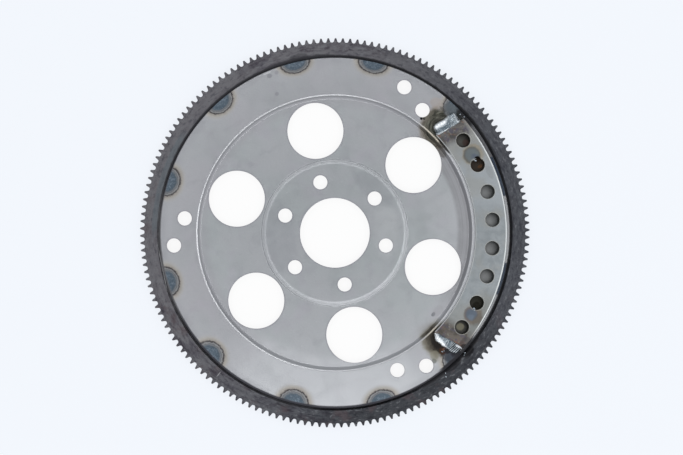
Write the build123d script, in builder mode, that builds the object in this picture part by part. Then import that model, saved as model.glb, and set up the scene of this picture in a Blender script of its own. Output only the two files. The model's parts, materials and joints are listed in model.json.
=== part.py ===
from build123d import *
import os
from math import acos, atan2, cos, degrees, hypot, pi, radians, sin, tan

# Flexplate: a pressed sheet-steel disc that joins a crankshaft to a torque converter, with a
# starter ring gear welded round it and an arc-shaped balance plate welded on its outer flat.
# Millimetres and degrees. Z is the crankshaft's axis, towards the converter. Z = 0 is the back
# of the hub, where it bolts to the crankshaft, and the balance plate is centred on +X.

# Pressed disc: a hub flat, a web lying behind it, and a rim flat standing in front of both
SHEET_T = 3.0
BORE_R = 31.6
HUB_FLAT_R = 63.0
HUB_STEP_RUN = 3.4
HUB_STEP_H = 1.0
RIM_FLAT_W = 34.0
RIM_STEP_RUN = 3.4
RIM_STEP_H = 2.3
RIM_BEND_REACH = 1.2
RIM_EDGE_BREAK = 1.6

# Crankshaft holes: one circle of six, two of them turned so that the disc fits one way only
HOLE_START = 41.2
CRANK_CIRCLE_R = 47.625
CRANK_HOLE_R = 6.4
CRANK_COUNT = 6
CRANK_KEYED = (1, 5)
CRANK_KEY_TURN = 5.2

# Lightening holes in the web, in line with the crankshaft holes
LIGHT_CIRCLE_R = 94.1
LIGHT_HOLE_R = 25.4
LIGHT_COUNT = 6

# Converter holes: two circles of three, for two sizes of converter
CONVERTER_HOLE_R = 6.5
CONVERTER_COUNT = 3
OUTER_CIRCLE_R = 146.05
OUTER_START = 64.9
INNER_CIRCLE_R = 136.525
INNER_START = 54.9

# Starter ring gear: stub teeth, moved inwards by a negative shift, thinned on both flanks for a
# loose mesh with the starter's pinion, and led in at the back
GEAR_TEETH = 166
GEAR_MODULE = 25.4 / 12
GEAR_PRESSURE_ANGLE = 20.0
GEAR_SHIFT = -0.9
GEAR_ADDENDUM_SHARE = 0.72
GEAR_DEDENDUM_SHARE = 1.125
TOOTH_THINNING = 0.46
GEAR_START = 1.265
RING_T = 10.0
RING_WALL_T = 13.5
RING_FIT_GAP = 0.1
RING_SET_BACK = 1.0
RING_BORE_BREAK = 2.0
TOOTH_LEAD_IN = 1.6
TOOTH_LEAD_ANGLE = 45.0

# Balance plate: an arc cut off by two straight ends, with a fan of holes
WEIGHT_T = 5.0
WEIGHT_STEP_GAP = 0.7
WEIGHT_RIM_MARGIN = 3.2
WEIGHT_HALF_SPAN = 43.4
WEIGHT_END_SLANT = 14.2
WEIGHT_CORNER_R = 2.0
WEIGHT_EDGE_BREAK = 0.5
WEIGHT_HOLE_R = 6.25
WEIGHT_HOLE_COUNT = 8
WEIGHT_HOLE_PITCH = 10.33
WEIGHT_HOLE_OFFSET = 1.55

# Stitch welds between the ring's bore and the disc's back, placed by hand, so unevenly
RING_WELD_ANGLES = (
    17.9, 48.4, 77.7, 103.6, 131.6, 163.3, 196.6, 224.8, 256.7, 286.0, 312.3, 345.5,
)
RING_WELD_SPAN = 8.5
RING_WELD_LEG = 5.0
RING_WELD_BELLY = 0.66
RING_WELD_END_BREAK = 2.0

# Plug welds: holes through the disc behind the balance plate, filled from the back, each at an
# angle and so far outside the circle of the plate's own holes
PLUG_UPPER_ANGLE = 30.0
PLUG_UPPER_SHIFT = -0.7
PLUG_LOWER_ANGLE = -30.4
PLUG_LOWER_SHIFT = 0.2
PLUG_R = 5.0
PLUG_HEAD_H = 1.0
PLUG_HEAD_TAPER = 60.0

# Fillet welds over the balance plate's ends, each of two runs. A row gives where the run starts and
# stops along the end from its middle, how far it spreads over the disc, how far it laps over the
# plate, and how high it stands above the plate.
END_WELD_RUNS = {
    "upper": ((-13.3, -1.5, 6.1, 3.1, 1.5), (-1.5, 10.2, 7.9, 2.7, 1.7)),
    "lower": ((-13.4, -0.6, 4.2, 1.2, 1.4), (-0.6, 12.8, 6.2, 1.6, 1.3)),
}
END_WELD_SHOULDER = (0.72, 0.7)
END_WELD_CREST = 0.12
END_WELD_LAP_BEND = (0.6, 0.75)
END_WELD_END_BREAK = 1.0

web_back = -HUB_STEP_H
rim_back = web_back + RIM_STEP_H
rim_front = rim_back + SHEET_T
ring_front = rim_front - RING_SET_BACK
ring_back = ring_front - RING_T

pitch_r = GEAR_MODULE * GEAR_TEETH / 2
base_r = pitch_r * cos(radians(GEAR_PRESSURE_ANGLE))
tip_r = pitch_r + GEAR_SHIFT + GEAR_ADDENDUM_SHARE * GEAR_MODULE
root_r = pitch_r + GEAR_SHIFT - GEAR_DEDENDUM_SHARE * GEAR_MODULE
tooth_pitch = 360 / GEAR_TEETH
ring_bore_r = root_r - RING_WALL_T
disc_r = ring_bore_r - RING_FIT_GAP


def polar(radius, angle):
    """The point on a circle round the axis at an angle."""
    return Vector(radius * cos(radians(angle)), radius * sin(radians(angle)))


def front_shift(run, rise):
    """How far inwards of the back's corner the front's corner lies at a step of the sheet."""
    return SHEET_T * tan(atan2(rise, run) / 2)


hub_front_shift = front_shift(HUB_STEP_RUN, -HUB_STEP_H)
rim_front_shift = front_shift(RIM_STEP_RUN, RIM_STEP_H)
rim_bend_reach = min(RIM_BEND_REACH, 0.45 * hypot(RIM_STEP_RUN, RIM_STEP_H))
step_top_r = disc_r - RIM_FLAT_W
step_back_r = step_top_r + rim_front_shift
web_back_r = step_back_r - RIM_STEP_RUN
# Radius and height of each corner on the sheet's back, and how far inwards the front's lies
corners = (
    (HUB_FLAT_R, 0, hub_front_shift),
    (HUB_FLAT_R + HUB_STEP_RUN, web_back, hub_front_shift),
    (web_back_r, web_back, rim_front_shift),
    (step_back_r, rim_back, rim_front_shift),
)
back_corners = [(radius, height) for radius, height, _ in corners]
front_corners = [(radius - shift, height + SHEET_T) for radius, height, shift in corners]

crank_spots = []
for hole in range(CRANK_COUNT):
    turned = CRANK_KEY_TURN if hole in CRANK_KEYED else 0
    crank_spots.append(polar(CRANK_CIRCLE_R, HOLE_START + hole * 360 / CRANK_COUNT + turned))

weight_inner_r = step_top_r + rim_bend_reach + WEIGHT_STEP_GAP
weight_outer_r = disc_r - WEIGHT_RIM_MARGIN
weight_mid_r = (weight_inner_r + weight_outer_r) / 2
weight_holes_r = weight_mid_r + WEIGHT_HOLE_OFFSET
plug_spots = [
    polar(weight_holes_r + PLUG_UPPER_SHIFT, PLUG_UPPER_ANGLE),
    polar(weight_holes_r + PLUG_LOWER_SHIFT, PLUG_LOWER_ANGLE),
]

with BuildPart() as flexplate_disc:
    with BuildSketch(Plane.XZ) as disc_section:
        with BuildLine():
            Polyline(
                (BORE_R, 0),
                *back_corners,
                (disc_r, rim_back),
                (disc_r, rim_front - RIM_EDGE_BREAK),
                (disc_r - RIM_EDGE_BREAK, rim_front),
                *reversed(front_corners),
                (BORE_R, SHEET_T),
                close=True,
            )
        make_face()
        front_step_corners = disc_section.vertices().filter_by_position(
            Axis.X, web_back_r - rim_front_shift, step_top_r
        ).filter_by_position(Axis.Y, web_back + SHEET_T, rim_front)
        chamfer(front_step_corners, length=rim_bend_reach)
    revolve(axis=Axis.Z)
    with Locations(*crank_spots):
        Hole(CRANK_HOLE_R)
    with PolarLocations(LIGHT_CIRCLE_R, LIGHT_COUNT, start_angle=HOLE_START):
        Hole(LIGHT_HOLE_R)
    with PolarLocations(OUTER_CIRCLE_R, CONVERTER_COUNT, start_angle=OUTER_START):
        Hole(CONVERTER_HOLE_R)
    with PolarLocations(INNER_CIRCLE_R, CONVERTER_COUNT, start_angle=INNER_START):
        Hole(CONVERTER_HOLE_R)
    with Locations(*plug_spots):
        Hole(PLUG_R)
flexplate_disc.part.label = "flexplate_disc"


def involute(pressure_angle):
    """The involute function of a pressure angle in radians."""
    return tan(pressure_angle) - pressure_angle


def half_tooth(radius):
    """Half of a tooth's thickness at a radius, as an angle."""
    pressure = radians(GEAR_PRESSURE_ANGLE)
    half_thickness = pi * GEAR_MODULE / 4 + GEAR_SHIFT * tan(pressure) - TOOTH_THINNING
    turn = half_thickness / pitch_r + involute(pressure) - involute(acos(base_r / radius))
    return degrees(turn)


tooth_corners = []
for tooth in range(GEAR_TEETH):
    tooth_angle = GEAR_START + tooth * tooth_pitch
    for radius, side in ((root_r, -1), (tip_r, -1), (tip_r, 1), (root_r, 1)):
        tooth_corners.append(polar(radius, tooth_angle + side * half_tooth(radius)))
tip_flat_r = tip_r * cos(radians(half_tooth(tip_r)))

with BuildPart() as ring_gear:
    with BuildSketch(Plane.XY.offset(ring_back)) as toothed_outline:
        with BuildLine():
            Polyline(*tooth_corners, close=True)
        make_face()
        Circle(ring_bore_r, mode=Mode.SUBTRACT)
    extrude(amount=RING_T)
    with BuildSketch(Plane.XY.offset(ring_back)) as lead_in:
        RegularPolygon(
            tip_flat_r - TOOTH_LEAD_IN,
            GEAR_TEETH,
            major_radius=False,
            rotation=GEAR_START - tooth_pitch / 2,
        )
    extrude(amount=RING_T, taper=-TOOTH_LEAD_ANGLE, mode=Mode.INTERSECT)
    bore_front_edge = ring_gear.edges().filter_by(GeomType.CIRCLE).sort_by(Axis.Z)[-1]
    chamfer(bore_front_edge, length=RING_BORE_BREAK)
ring_gear.part.label = "ring_gear"

end_angle = WEIGHT_HALF_SPAN - WEIGHT_END_SLANT
end_middle = polar(weight_mid_r, WEIGHT_HALF_SPAN)
wedge_tip = Vector(end_middle.X - end_middle.Y / tan(radians(end_angle)), 0)
wedge_reach = 2 * (weight_outer_r - wedge_tip.X)

with BuildPart() as balance_weight:
    with BuildSketch(Plane.XY.offset(rim_front)) as weight_outline:
        Circle(weight_outer_r)
        Circle(weight_inner_r, mode=Mode.SUBTRACT)
        with BuildLine():
            Polyline(
                wedge_tip,
                wedge_tip + polar(wedge_reach, end_angle),
                wedge_tip + polar(wedge_reach, -end_angle),
                close=True,
            )
        make_face(mode=Mode.INTERSECT)
        fillet(weight_outline.vertices(), radius=WEIGHT_CORNER_R)
    extrude(amount=WEIGHT_T)
    chamfer(balance_weight.faces().sort_by(Axis.Z)[-1].edges(), length=WEIGHT_EDGE_BREAK)
    with PolarLocations(
        weight_holes_r,
        WEIGHT_HOLE_COUNT,
        start_angle=-WEIGHT_HOLE_PITCH * (WEIGHT_HOLE_COUNT - 1) / 2,
        angular_range=WEIGHT_HOLE_PITCH * WEIGHT_HOLE_COUNT,
        endpoint=False,
    ):
        Hole(WEIGHT_HOLE_R)
balance_weight.part.label = "balance_weight"


def ring_weld(name, angle):
    """One stitch in the corner between the disc's back and the ring's bore, with broken ends."""
    outwards = polar(1, angle)
    onwards = polar(1, angle + 90)
    corner = outwards * ring_bore_r + Vector(0, 0, rim_back)
    belly = RING_WELD_LEG * RING_WELD_BELLY
    with BuildPart() as weld:
        with BuildSketch(Plane(origin=corner, x_dir=-outwards, z_dir=onwards)):
            with BuildLine():
                Polyline(
                    (0, 0), (RING_WELD_LEG, 0), (belly, -belly), (0, -RING_WELD_LEG), close=True
                )
            make_face()
        extrude(amount=ring_bore_r * sin(radians(RING_WELD_SPAN / 2)), both=True)
        end_edges = weld.faces().filter_by(Axis(corner, onwards)).edges()
        open_edges = end_edges.sort_by(Axis(corner, outwards + Vector(0, 0, 1)))[:4]
        chamfer(open_edges, length=RING_WELD_END_BREAK)
        with BuildSketch(Plane.XY.offset(rim_back)):
            Circle(ring_bore_r)
        extrude(amount=-RING_WELD_LEG, mode=Mode.INTERSECT)
    weld.part.label = name
    return weld


def weld_run(side, start, stop, spread, lap, crown):
    """One run of weld in the corner between the disc and an end of the balance plate, lapping over
    the plate. side is 1 for the end at positive angles and -1 for the other."""
    along = polar(1, side * end_angle)
    off_end = polar(1, side * (end_angle + 90))
    foot = Vector(end_middle.X, side * end_middle.Y, rim_front) + along * start
    shoulder_out, shoulder_up = END_WELD_SHOULDER
    bend_out, bend_up = END_WELD_LAP_BEND
    with BuildPart() as run:
        with BuildSketch(Plane(origin=foot, x_dir=off_end, z_dir=off_end.cross(Vector(0, 0, 1)))):
            with BuildLine():
                Polyline(
                    (0, 0),
                    (spread, 0),
                    (spread * shoulder_out, WEIGHT_T * shoulder_up),
                    (spread * END_WELD_CREST, WEIGHT_T + crown),
                    (-lap * bend_out, WEIGHT_T + crown * bend_up),
                    (-lap, WEIGHT_T),
                    (0, WEIGHT_T),
                    close=True,
                )
            make_face()
        extrude(amount=(stop - start) * side)
        end_edges = run.faces().filter_by(Axis(foot, along)).edges()
        open_edges = end_edges.sort_by(Axis(foot, off_end + Vector(0, 0, 1)))[-6:]
        chamfer(open_edges, length=END_WELD_END_BREAK)
    return run.part


def end_weld(name, side, rows):
    """The bead over one end of the balance plate, of its runs."""
    runs = [weld_run(side, *row) for row in rows]
    with BuildPart() as weld:
        add(runs)
    weld.part.label = name
    return weld


welds = [
    ring_weld(f"ring_weld_{number:02d}", angle)
    for number, angle in enumerate(RING_WELD_ANGLES, start=1)
]
for side_name, side in (("upper", 1), ("lower", -1)):
    welds.append(end_weld(f"weight_end_weld_{side_name}", side, END_WELD_RUNS[side_name]))

with BuildPart() as weight_plug_welds:
    with BuildSketch(Plane.XY.offset(rim_front)):
        with Locations(*plug_spots):
            Circle(PLUG_R)
    extrude(amount=-SHEET_T)
    extrude(weight_plug_welds.faces().sort_by(Axis.Z)[:2], amount=PLUG_HEAD_H, taper=PLUG_HEAD_TAPER)
weight_plug_welds.part.label = "weight_plug_welds"

os.makedirs("parts", exist_ok=True)
for piece in (flexplate_disc, ring_gear, balance_weight, weight_plug_welds, *welds):
    export_step(piece.part, f"parts/{piece.part.label}.step")
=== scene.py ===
import json
import random
from functools import partial, reduce
from math import acos, atan2, cos, degrees, exp, hypot, pi, radians, sin, sqrt, tan

import bpy
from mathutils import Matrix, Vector


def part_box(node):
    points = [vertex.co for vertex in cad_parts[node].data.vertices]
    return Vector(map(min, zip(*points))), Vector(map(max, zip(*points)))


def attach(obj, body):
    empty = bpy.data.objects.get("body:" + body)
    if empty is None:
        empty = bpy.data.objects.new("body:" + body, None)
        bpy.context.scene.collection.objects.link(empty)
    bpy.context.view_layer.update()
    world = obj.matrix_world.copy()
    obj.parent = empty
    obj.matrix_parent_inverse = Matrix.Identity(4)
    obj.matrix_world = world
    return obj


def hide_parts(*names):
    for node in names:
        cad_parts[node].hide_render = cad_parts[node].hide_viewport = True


# A flexplate seen from its converter side. Lengths are millimetres in the row frame, and become
# metres where a mesh, a lamp or the camera is made. Angles are degrees, anticlockwise from +X.
MM = 0.001

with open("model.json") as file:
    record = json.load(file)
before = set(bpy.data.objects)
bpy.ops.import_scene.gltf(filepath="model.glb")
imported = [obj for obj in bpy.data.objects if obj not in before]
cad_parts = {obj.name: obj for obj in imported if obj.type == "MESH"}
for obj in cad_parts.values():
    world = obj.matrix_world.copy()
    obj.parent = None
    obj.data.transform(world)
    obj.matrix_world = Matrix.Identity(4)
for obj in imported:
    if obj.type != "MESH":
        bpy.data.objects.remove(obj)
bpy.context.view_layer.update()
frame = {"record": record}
mounts = {mount["name"]: mount for mount in frame["record"]["mounts"]}
openings = {opening["name"]: opening for opening in frame["record"]["physics"]["openings"]}


def node_box(node):
    """Lowest and highest corner of a CAD node, in millimetres."""
    low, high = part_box(node)
    return low / MM, high / MM


def polar(radius, angle, height=0):
    """A point on a circle round the axis."""
    return Vector((radius * cos(radians(angle)), radius * sin(radians(angle)), height))


# Heights and radii that the CAD nodes give
disc_low, disc_high = node_box("flexplate_disc")
ring_low, ring_high = node_box("ring_gear")
weight_high = node_box("balance_weight")[1]
web_back, rim_front, disc_r = disc_low.z, disc_high.z, disc_high.x
ring_back, ring_front, tip_r = ring_low.z, ring_high.z, ring_high.y
weight_top, weight_outer_r = weight_high.z, weight_high.x

# Sheet and its two steps, as the CAD model has them
SHEET_T = 3
BORE_R = mounts["pilot_bore"]["dims"]["r_mm"]
HUB_FLAT_R = 63
HUB_STEP_RUN = 3.4
RIM_FLAT_W = 34
RIM_STEP_RUN = 3.4
# Bend radii: inside a bend, over the rim step's crest and over the hub step's. The front's slopes
# are a little shorter than the back's, by these lengths at their outer and inner ends.
INNER_BEND_R = 0.9
RIM_CREST_R = 3.8
HUB_CREST_R = 12
RIM_FOOT_IN = -0.05
RIM_CREST_IN = -0.1
HUB_CREST_OUT = 1.7
HUB_FOOT_IN = 0.1
EDGE_R = 0.45
RIM_EDGE_R = 1.1
CRANK_HOLE_R = mounts["crank_hole_1"]["dims"]["r_mm"]
LIGHT_HOLE_R = 25.4
CONVERTER_HOLE_R = mounts["converter_bolts_outer"]["dims"]["hole_r_mm"]
PLUG_R = 5
PLUG_SPOTS = ((141.98, 30), (142.88, -30.4))

# Ring gear
GEAR_TEETH = 166
GEAR_MODULE = 25.4 / 12
GEAR_PRESSURE_ANGLE = 20
GEAR_SHIFT = -0.9
GEAR_DEDENDUM_SHARE = 1.125
GEAR_START = 1.265
TOOTH_THINNING = 0.46
RING_WALL_T = 13.5
RING_BORE_BREAK = 2
TOOTH_LEAD_IN = 1.6
TOOTH_BREAK = 0.25
TOOTH_ROOT_R = 1.5
TOOTH_TIP_R = 0.6

# Balance plate
WEIGHT_HALF_SPAN = 43.4
WEIGHT_END_SLANT = 14.2
WEIGHT_INNER_R = 126.7
WEIGHT_CORNER_R = 2
WEIGHT_EDGE_R = 0.5
WEIGHT_HOLE_R = 6.25
WEIGHT_HOLE_COUNT = 8
WEIGHT_HOLE_PITCH = 10.33
WEIGHT_HOLES_R = 142.68

# Welds
RING_WELD_ANGLES = (17.9, 48.4, 77.7, 103.6, 131.6, 163.3, 196.6, 224.8, 256.7, 286, 312.3, 345.5)
RING_WELD_SPAN = 8.5
RING_WELD_LEG = 5

rim_back = rim_front - SHEET_T
web_front = web_back + SHEET_T
hub_foot_r = HUB_FLAT_R + HUB_STEP_RUN
hub_front_shift = -SHEET_T * tan(atan2(-web_back, HUB_STEP_RUN) / 2)
rim_front_shift = SHEET_T * tan(atan2(rim_back - web_back, RIM_STEP_RUN) / 2)
step_top_r = disc_r - RIM_FLAT_W
step_back_r = step_top_r + rim_front_shift
web_back_r = step_back_r - RIM_STEP_RUN
weight_mid_r = (WEIGHT_INNER_R + weight_outer_r) / 2
end_angle = WEIGHT_HALF_SPAN - WEIGHT_END_SLANT
end_middle = polar(weight_mid_r, WEIGHT_HALF_SPAN)


# Mesh helpers
def placed(name, data):
    """A new object in the scene."""
    made = bpy.data.objects.new(name, data)
    bpy.context.scene.collection.objects.link(made)
    return made


def piece_from(name, points, faces):
    """A mesh object from points in millimetres."""
    mesh = bpy.data.meshes.new(name)
    mesh.from_pydata([tuple(c * MM for c in point) for point in points], [], faces)
    mesh.update()
    return placed(name, mesh)


def rounded(corners, steps=5):
    """A closed outline of (x, y, radius) corners with each corner drawn as an arc."""
    outline = []
    for index, (x, y, radius) in enumerate(corners):
        corner = Vector((x, y))
        before = (Vector(corners[index - 1][:2]) - corner).normalized()
        after = (Vector(corners[(index + 1) % len(corners)][:2]) - corner).normalized()
        half = acos(max(-1, min(1, before.dot(after)))) / 2
        if radius <= 0 or half > radians(89.5):
            outline.append((x, y))
            continue
        reach = radius / tan(half)
        middle = corner + (before + after).normalized() * (radius / sin(half))
        start = corner + before * reach - middle
        stop = corner + after * reach - middle
        sweep = atan2(start.x * stop.y - start.y * stop.x, start.dot(stop))
        for step in range(steps + 1):
            turn = sweep * step / steps
            outline.append((
                middle.x + start.x * cos(turn) - start.y * sin(turn),
                middle.y + start.x * sin(turn) + start.y * cos(turn),
            ))
    return outline


def lofted(name, sections, ring=False, tip=None):
    """A closed skin over sections, each a loop of as many points. A ring's last section meets its
    first. Anything else gets a flat face at each end, or runs to a tip if it has one."""
    rows = len(sections[0])
    points = [point for section in sections for point in section]
    faces = []
    for index in range(len(sections) if ring else len(sections) - 1):
        here = index * rows
        there = (index + 1) % len(sections) * rows
        for row in range(rows):
            following = (row + 1) % rows
            faces.append((here + row, here + following, there + following, there + row))
    if not ring:
        last = len(points) - rows
        faces.append(list(reversed(range(rows))))
        if tip is None:
            faces.append([last + row for row in range(rows)])
        else:
            points.append(tip)
            faces += [(last + row, last + (row + 1) % rows, last + rows) for row in range(rows)]
    return piece_from(name, points, faces)


def turned(name, profile, steps, centre=(0, 0), ring=False):
    """A (radius, height) profile turned round an upright line. A ring's profile is closed."""
    turns = [2 * pi * step / steps for step in range(steps)]
    return lofted(name, [
        [(centre[0] + radius * cos(turn), centre[1] + radius * sin(turn), height) for turn in turns]
        for radius, height in profile
    ], ring)


def hole_cutter(name, centre, radius, low, high, edge, steps=96, flare_angle=70, over=0.3):
    """A cutter for a round hole whose two rims come out rounded."""
    flare = []
    for step in range(4):
        turn = radians(flare_angle) * step / 3
        flare.append((edge * (1 - cos(turn)), edge * (1 - sin(turn))))
    out, down = flare[-1]
    spread = radius + out + (down + over) * tan(radians(flare_angle))
    profile = [(spread, low - over)]
    profile += [(radius + out, low + down) for out, down in reversed(flare)]
    profile += [(radius + out, high - down) for out, down in flare]
    return turned(name, profile + [(spread, high + over)], steps, centre)


def cut(target, cutters):
    """Cuts the cutters out of a piece and deletes them."""
    for number, cutter in enumerate(cutters):
        modifier = target.modifiers.new(f"cut_{number}", "BOOLEAN")
        modifier.operation = "DIFFERENCE"
        modifier.solver = "EXACT"
        modifier.object = cutter
    bpy.context.view_layer.update()
    done = bpy.data.meshes.new_from_object(target.evaluated_get(bpy.context.evaluated_depsgraph_get()))
    target.modifiers.clear()
    target.data = done
    done.name = target.name
    for cutter in cutters:
        bpy.data.objects.remove(cutter)


def chosen(*pieces):
    """Selects pieces and nothing else, with the first one active."""
    bpy.ops.object.select_all(action="DESELECT")
    for piece in pieces:
        piece.select_set(True)
    bpy.context.view_layer.objects.active = pieces[0]


def finished(made, angle=60, weighted=False, turn_out=True):
    """A closed mesh with its faces outwards, shaded smooth where edges are blunter than an angle."""
    if turn_out:
        chosen(made)
        bpy.ops.object.mode_set(mode="EDIT")
        bpy.ops.mesh.select_all(action="SELECT")
        bpy.ops.mesh.normals_make_consistent(inside=False)
        bpy.ops.object.mode_set(mode="OBJECT")
    made.data.shade_smooth()
    made.data.set_sharp_from_angle(angle=radians(angle))
    if weighted:
        modifier = made.modifiers.new("flats", "WEIGHTED_NORMAL")
        modifier.keep_sharp = True
        modifier.weight = 100
    return made


def joined(name, pieces):
    """Several pieces made into one."""
    chosen(*pieces)
    bpy.ops.object.join()
    pieces[0].name = pieces[0].data.name = name
    return pieces[0]


# The pressed disc
disc = turned("disc_sheet", rounded([
    (BORE_R, 0, EDGE_R),
    (HUB_FLAT_R, 0, HUB_CREST_R - SHEET_T),
    (hub_foot_r, web_back, INNER_BEND_R + SHEET_T),
    (web_back_r, web_back, INNER_BEND_R + SHEET_T),
    (step_back_r, rim_back, RIM_CREST_R - SHEET_T),
    (disc_r, rim_back, EDGE_R),
    (disc_r, rim_front, RIM_EDGE_R),
    (step_top_r - RIM_CREST_IN, rim_front, RIM_CREST_R),
    (web_back_r - rim_front_shift + RIM_FOOT_IN, web_front, INNER_BEND_R),
    (hub_foot_r - hub_front_shift - HUB_FOOT_IN, web_front, INNER_BEND_R),
    (HUB_FLAT_R - hub_front_shift + HUB_CREST_OUT, SHEET_T, HUB_CREST_R),
    (BORE_R, SHEET_T, EDGE_R),
]), 360, ring=True)
finished(disc)
# Its round holes. A row is how their names start in the record, their radius, the sheet's back
# there, and how many sides they are drawn with.
HOLES = (
    ("lightening_hole", LIGHT_HOLE_R, web_back, 144), ("converter_hole", CONVERTER_HOLE_R, rim_back, 96),
    ("crank_hole", CRANK_HOLE_R, 0, 96),
)
places = {name: mount["pos_m"] for name, mount in mounts.items()}
for name, opening in openings.items():
    places[name] = [(low + high) / 2 for low, high in zip(*opening["box_m"])]
holes = [
    (name, [c / MM for c in place], radius, back, back + SHEET_T, EDGE_R, sides)
    for start, radius, back, sides in HOLES for name, place in places.items() if name.startswith(start)
]
disc_cutters = [hole_cutter(*hole) for hole in holes]
plug_spots = [polar(radius, angle) for radius, angle in PLUG_SPOTS]
for number, spot in enumerate(plug_spots):
    profile = [(PLUG_R, rim_back - 1), (PLUG_R, rim_front + 1)]
    disc_cutters.append(turned(f"plug_cut_{number}", profile, 64, spot))
cut(disc, disc_cutters)
finished(disc, 40, weighted=True, turn_out=False)

# The toothed ring
pitch_r = GEAR_MODULE * GEAR_TEETH / 2
base_r = pitch_r * cos(radians(GEAR_PRESSURE_ANGLE))
root_r = pitch_r + GEAR_SHIFT - GEAR_DEDENDUM_SHARE * GEAR_MODULE
ring_bore_r = root_r - RING_WALL_T
tooth_pitch = 360 / GEAR_TEETH


def half_tooth(radius):
    """Half of a tooth's thickness at a radius, measured along the circle."""
    pressure = radians(GEAR_PRESSURE_ANGLE)
    at_radius = acos(min(1, base_r / radius))
    half_thickness = pi * GEAR_MODULE / 4 + GEAR_SHIFT * tan(pressure) - TOOTH_THINNING
    turn = half_thickness / pitch_r + (tan(pressure) - pressure) - (tan(at_radius) - at_radius)
    return turn * radius


def tooth_outline():
    """(radius, angle) round one tooth, from the middle of one root to the middle of the next."""
    root_half, tip_half = half_tooth(root_r), half_tooth(tip_r)
    root_middle = radians(tooth_pitch / 2) * root_r
    outline = rounded([
        (-root_middle, root_r, 0),
        (-root_half, root_r, TOOTH_ROOT_R),
        (-tip_half, tip_r, TOOTH_TIP_R),
        (tip_half, tip_r, TOOTH_TIP_R),
        (root_half, root_r, TOOTH_ROOT_R),
        (root_middle, root_r, 0),
        (0, root_r - TOOTH_ROOT_R, 0),
    ])[:-2]
    return [(radius, degrees(across / radius)) for across, radius in outline]


def ring_section(radius, angle):
    """The ring's section, with broken edges and the lead-in at its back, where the teeth reach a radius."""
    lead_r = tip_r - TOOTH_LEAD_IN
    return [polar(at, angle, height) for at, height in (
        (ring_bore_r, ring_back + EDGE_R),
        (ring_bore_r, ring_front - RING_BORE_BREAK),
        (ring_bore_r + RING_BORE_BREAK, ring_front),
        (ring_bore_r + 5, ring_front),
        (root_r - 1.5, ring_front),
        (radius - TOOTH_BREAK, ring_front),
        (radius - TOOTH_BREAK * 0.3, ring_front - TOOTH_BREAK * 0.3),
        (radius, ring_front - TOOTH_BREAK),
        (radius, ring_back + max(TOOTH_BREAK, radius - lead_r)),
        (min(radius - TOOTH_BREAK, lead_r), ring_back),
        (root_r - 1.5, ring_back),
        (ring_bore_r + EDGE_R, ring_back),
    )]


ring = finished(lofted("toothed_ring", [
    ring_section(radius, GEAR_START + tooth * tooth_pitch + angle)
    for tooth in range(GEAR_TEETH) for radius, angle in tooth_outline()
], ring=True), 35, weighted=True)

# The balance plate
wedge_tip = end_middle.x - end_middle.y / tan(radians(end_angle))


def half_arc(radius):
    """The angle at which the plate's end line crosses a circle round the axis."""
    slope = radians(end_angle)
    along = -wedge_tip * cos(slope) + sqrt(radius ** 2 - (wedge_tip * sin(slope)) ** 2)
    return degrees(atan2(along * sin(slope), wedge_tip + along * cos(slope)))


def weight_outline(steps=72):
    """The arc-shaped outline, anticlockwise, with its four corners rounded."""
    corners = []
    for arc_r, direction in ((weight_outer_r, 1), (WEIGHT_INNER_R, -1)):
        for step in range(steps + 1):
            angle = direction * half_arc(arc_r) * (2 * step / steps - 1)
            corners.append((*polar(arc_r, angle)[:2], WEIGHT_CORNER_R if step in (0, steps) else 0))
    return rounded(corners)


def plate(name, steps=3):
    """The flat plate with its edges rounded."""
    points = [Vector(point) for point in weight_outline()]
    normals = []
    for index, point in enumerate(points):
        before = (point - points[index - 1]).normalized()
        after = (points[(index + 1) % len(points)] - point).normalized()
        tangent = (before + after).normalized()
        normals.append(Vector((tangent.y, -tangent.x)))
    turns = [pi / 2 * step / steps for step in range(steps + 1)]
    levels = [(1 - sin(turn), rim_front + WEIGHT_EDGE_R * (1 - cos(turn))) for turn in turns]
    levels += [(1 - cos(turn), weight_top - WEIGHT_EDGE_R * (1 - sin(turn))) for turn in turns]
    return lofted(name, [
        [(*(point - normal * WEIGHT_EDGE_R * inset), height) for point, normal in zip(points, normals)]
        for inset, height in levels
    ])


weight = finished(plate("weight_plate"))
hole_middles = [
    polar(WEIGHT_HOLES_R, WEIGHT_HOLE_PITCH * (hole - (WEIGHT_HOLE_COUNT - 1) / 2))
    for hole in range(WEIGHT_HOLE_COUNT)
]
cut(weight, [
    hole_cutter(f"weight_hole_{hole}", middle, WEIGHT_HOLE_R, rim_front, weight_top, WEIGHT_EDGE_R)
    for hole, middle in enumerate(hole_middles)
])
finished(weight, 40, weighted=True, turn_out=False)


# Welds
def eased(rows, at):
    """A value between rows of (place, value), eased from one to the next."""
    if at <= rows[0][0]:
        return rows[0][1]
    for (place, value), (next_place, next_value) in zip(rows, rows[1:]):
        if at <= next_place:
            share = (at - place) / (next_place - place)
            return value + (next_value - value) * share * share * (3 - 2 * share)
    return rows[-1][1]


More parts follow.
